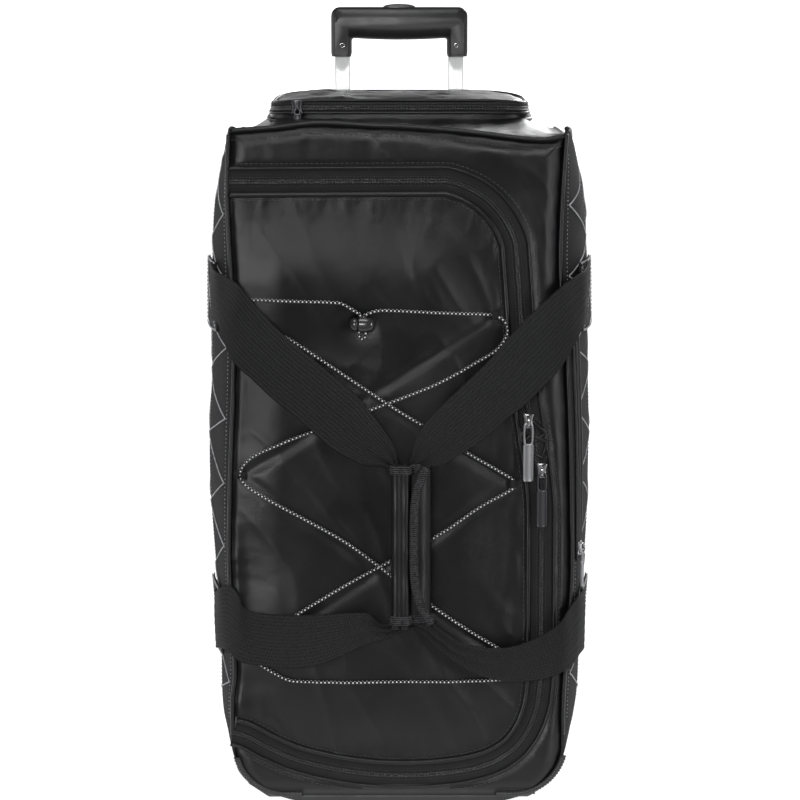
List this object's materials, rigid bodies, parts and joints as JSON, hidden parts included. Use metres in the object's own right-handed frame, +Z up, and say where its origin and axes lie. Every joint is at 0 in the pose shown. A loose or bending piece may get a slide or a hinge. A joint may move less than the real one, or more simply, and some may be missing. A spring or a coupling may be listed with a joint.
{
  "type": "rolling duffel bag",
  "caption": "Soft upright wheeled duffel with a telescopic handle, zipped front flap laced with elastic cord, webbing carry handles in a wrap, side and top zip pockets.",
  "frame": {"origin": "on the floor, below the middle of the bag's width and depth", "axes": "+X to the right seen from the front, +Y from the front to the back, +Z up"},
  "size_m": [0.386, 0.324, 0.777],
  "materials": {
    "satin_fabric": "black satin-faced nylon",
    "side_fabric": "charcoal woven polyester with pale decorative stitching",
    "back_fabric": "plain black polyester",
    "webbing": "ribbed black webbing",
    "wrap_fabric": "padded black satin nylon",
    "zip_tape": "black zip tape and nylon coil",
    "elastic_cord": "black elastic cord with pale flecks",
    "base_plastic": "moulded black plastic, ribbed",
    "grip_plastic": "textured dark grey plastic",
    "lock_plastic": "glossy black",
    "board": "stiff sheet",
    "rail_aluminium": "bright anodised",
    "steel": "plain steel",
    "dark_metal": "black lacquered zinc",
    "pull_metal": "gunmetal lacquered zinc",
    "tyre_rubber": "soft polyurethane",
    "hub_plastic": "moulded plastic",
    "button_plastic": "smooth dark grey"
  },
  "bodies": {
    "body": {"bottom_tray": "base_plastic", "wheel_housing_left": "base_plastic", "wheel_housing_right": "base_plastic", "axles": "steel", "feet": "base_plastic", "corner_guards": "base_plastic", "skid_rails": "base_plastic", "rail_screws": "steel", "left_side_panel": "side_fabric", "right_side_panel": "side_fabric", "top_end_panel": "satin_fabric", "back_board": "board", "back_panel": "back_fabric", "front_panel": "satin_fabric", "main_flap": "satin_fabric", "main_zip": "zip_tape", "top_pocket": "satin_fabric", "top_zip": "zip_tape", "side_zip": "zip_tape", "anchor_patches": "webbing", "bungee_cord": "elastic_cord", "cord_tabs": "webbing", "cord_lock_body": "lock_plastic", "outer_tube_left": "rail_aluminium", "outer_tube_right": "rail_aluminium", "tube_collars": "base_plastic", "handle_bezel": "base_plastic", "tube_bracket": "base_plastic", "cord_lock_spring": "steel"},
    "handle": {"inner_tube_left": "rail_aluminium", "inner_tube_right": "rail_aluminium", "lock_blocks": "base_plastic", "grip_front_shell": "grip_plastic", "grip_rear_shell": "grip_plastic", "grip_screws": "steel", "button_spring": "steel"},
    "button": {"release_button": "button_plastic", "push_rods": "steel"},
    "pin_left": {"lock_pin_left": "steel"},
    "pin_right": {"lock_pin_right": "steel"},
    "wheel_left": {"left_tyre": "tyre_rubber", "left_hub": "hub_plastic", "left_bearings": "steel"},
    "wheel_right": {"right_tyre": "tyre_rubber", "right_hub": "hub_plastic", "right_bearings": "steel"},
    "carry_handles": {"left_webbing": "webbing", "right_webbing": "webbing", "grip_wrap": "wrap_fabric"},
    "wrap_front": {"wrap_flap": "wrap_fabric"},
    "slider_upper": {"main_slider_upper": "dark_metal"},
    "pull_upper": {"main_pull_upper": "pull_metal"},
    "slider_lower": {"main_slider_lower": "dark_metal"},
    "pull_lower": {"main_pull_lower": "dark_metal"},
    "slider_side": {"side_slider": "dark_metal"},
    "pull_side": {"side_pull": "pull_metal"},
    "slider_top": {"top_slider": "dark_metal"},
    "pull_top": {"top_pull": "pull_metal"},
    "lock_plunger": {"cord_lock_plunger": "lock_plastic"}
  },
  "joints": [
    {"name": "handle_slide", "type": "slide", "parent": "body", "child": "handle", "axis": [0, 0, 1], "range_m": [-0.046, 0.36]},
    {"name": "button_press", "type": "slide", "parent": "handle", "child": "button", "axis": [0, 0, -1], "range_m": [0, 0.004], "stiffness_N_per_m": 400, "springref_m": -0.006, "deforming": ["button_spring"]},
    {"name": "pin_left_slide", "type": "slide", "parent": "handle", "child": "pin_left", "axis": [1, 0, 0], "range_m": [0, 0.003]},
    {"name": "pin_right_slide", "type": "slide", "parent": "handle", "child": "pin_right", "axis": [-1, 0, 0], "range_m": [0, 0.003]},
    {"name": "wheel_left_spin", "type": "hinge", "parent": "body", "child": "wheel_left", "pos_m": [-0.142, 0.129, 0.034], "axis": [1, 0, 0], "continuous": true},
    {"name": "wheel_right_spin", "type": "hinge", "parent": "body", "child": "wheel_right", "pos_m": [0.142, 0.129, 0.034], "axis": [1, 0, 0], "continuous": true},
    {"name": "carry_swing", "type": "hinge", "parent": "body", "child": "carry_handles", "pos_m": [0, -0.085, 0.534], "axis": [-1, 0, 0], "range_deg": [0, 15]},
    {"name": "wrap_open", "type": "hinge", "parent": "carry_handles", "child": "wrap_front", "pos_m": [-0.0122, -0.149, 0.26], "axis": [0, 0, -1], "range_deg": [0, 150]},
    {"name": "upper_zip_slide", "type": "slide", "parent": "body", "child": "slider_upper", "axis": [-0.0777, 0, 0.997], "range_m": [0, 0.15]},
    {"name": "upper_pull_swing", "type": "hinge", "parent": "slider_upper", "child": "pull_upper", "pos_m": [0.124, -0.1399, 0.384], "axis": [1, 0, 0], "range_deg": [-150, 0]},
    {"name": "lower_zip_slide", "type": "slide", "parent": "body", "child": "slider_lower", "axis": [0, 0, 1], "range_m": [-0.18, 0]},
    {"name": "lower_pull_swing", "type": "hinge", "parent": "slider_lower", "child": "pull_lower", "pos_m": [0.1375, -0.1399, 0.335], "axis": [-1, 0, 0], "range_deg": [0, 150]},
    {"name": "side_zip_slide", "type": "slide", "parent": "body", "child": "slider_side", "axis": [0, 0, 1], "range_m": [0, 0.17]},
    {"name": "side_pull_swing", "type": "hinge", "parent": "slider_side", "child": "pull_side", "pos_m": [0.17999, -0.11963, 0.254], "axis": [0.333, 0.9429, 0], "range_deg": [-150, 0]},
    {"name": "top_zip_slide", "type": "slide", "parent": "body", "child": "slider_top", "axis": [1, 0, 0], "range_m": [0, 0.19]},
    {"name": "top_pull_swing", "type": "hinge", "parent": "slider_top", "child": "pull_top", "pos_m": [-0.1, -0.0624, 0.681], "axis": [1, 0, 0], "range_deg": [-120, 0]},
    {"name": "lock_press", "type": "slide", "parent": "body", "child": "lock_plunger", "axis": [-1, 0, 0], "range_m": [0, 0.004], "stiffness_N_per_m": 500, "springref_m": -0.004, "deforming": ["cord_lock_spring"]}
  ],
  "couplings": [
    {"joint": "pin_left_slide", "follows": "button_press", "ratio": 0.75},
    {"joint": "pin_right_slide", "follows": "button_press", "ratio": 0.75}
  ]
}
